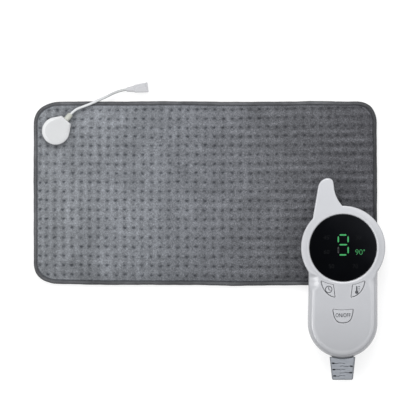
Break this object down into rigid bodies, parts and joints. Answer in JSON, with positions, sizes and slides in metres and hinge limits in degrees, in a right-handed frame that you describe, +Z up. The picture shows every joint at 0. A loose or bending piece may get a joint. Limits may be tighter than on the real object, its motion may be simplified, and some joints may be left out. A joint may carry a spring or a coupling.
{
  "type": "heating pad with controller",
  "caption": "Soft rectangular heating pad with a dimpled plush top, a short lead with a connector, and a hand controller with a round display, press keys and a strain relief.",
  "frame": {"origin": "middle of the pad's underside, on the surface it lies on", "axes": "+X along the pad's long side towards the controller, +Y across it towards the lead, +Z up"},
  "size_m": [0.3161, 0.2676, 0.0302],
  "materials": {
    "plush": "short dimpled plush",
    "binding": "sewn tape",
    "lining": "woven backing",
    "felt": "needled felt",
    "silicone": "satin",
    "white_plastic": "satin",
    "cream_rubber": "satin",
    "lead_jacket": "satin",
    "grey_shell": "gloss",
    "grey_keys": "gloss",
    "grey_rubber": "satin",
    "black_gloss": "polished",
    "black_plastic": "satin",
    "board": "solder mask",
    "steel": "plated",
    "brass": "bright",
    "blue_plastic": "satin",
    "amber": "dipped"
  },
  "bodies": {
    "pad": {"back_cover": "lining", "top_cover": "plush", "edge_binding": "binding", "wire_felt": "felt", "heating_wire": "silicone", "temperature_sensor": "black_plastic", "thermal_cutout": "steel", "junction_cover": "white_plastic", "junction_base": "white_plastic", "junction_screw_1": "steel", "junction_screw_2": "steel", "junction_screw_3": "steel", "terminal_board": "board", "thermal_fuse": "amber", "lead_collar": "cream_rubber", "pad_lead": "lead_jacket", "connector_housing": "white_plastic", "connector_contact_1": "brass", "connector_contact_2": "brass"},
    "controller": {"front_shell": "grey_shell", "back_shell": "grey_shell", "housing_screw_1": "steel", "housing_screw_2": "steel", "housing_screw_3": "steel", "housing_screw_4": "steel", "display_lens": "black_gloss", "display_frame": "black_plastic", "led_digit_module": "black_plastic", "led_timer_module": "black_plastic", "main_board": "board", "relay": "blue_plastic", "film_capacitor": "amber", "fuse": "white_plastic", "buzzer": "black_plastic", "microcontroller": "black_plastic", "terminal_block": "blue_plastic", "timer_switch": "black_plastic", "temperature_switch": "black_plastic", "power_switch": "black_plastic", "strain_relief": "grey_rubber", "cord_clamp": "steel", "clamp_screw_1": "steel", "clamp_screw_2": "steel"},
    "timer_button": {"timer_key": "grey_keys", "timer_plunger": "steel"},
    "temperature_button": {"temperature_key": "grey_keys", "temperature_plunger": "steel"},
    "power_button": {"power_key": "grey_keys", "power_plunger": "steel"}
  },
  "joints": [
    {"name": "controller_lift", "type": "slide", "parent": "pad", "child": "controller", "axis": [0, 0, 1], "range_m": [0, 0.06]},
    {"name": "timer_key_press", "type": "slide", "parent": "controller", "child": "timer_button", "axis": [0, 0, -1], "range_m": [0, 0.0005], "stiffness_N_per_m": 200, "springref_m": -0.0003},
    {"name": "temperature_key_press", "type": "slide", "parent": "controller", "child": "temperature_button", "axis": [0, 0, -1], "range_m": [0, 0.0005], "stiffness_N_per_m": 200, "springref_m": -0.0003},
    {"name": "power_key_press", "type": "slide", "parent": "controller", "child": "power_button", "axis": [0, 0, -1], "range_m": [0, 0.0005], "stiffness_N_per_m": 200, "springref_m": -0.0003}
  ]
}
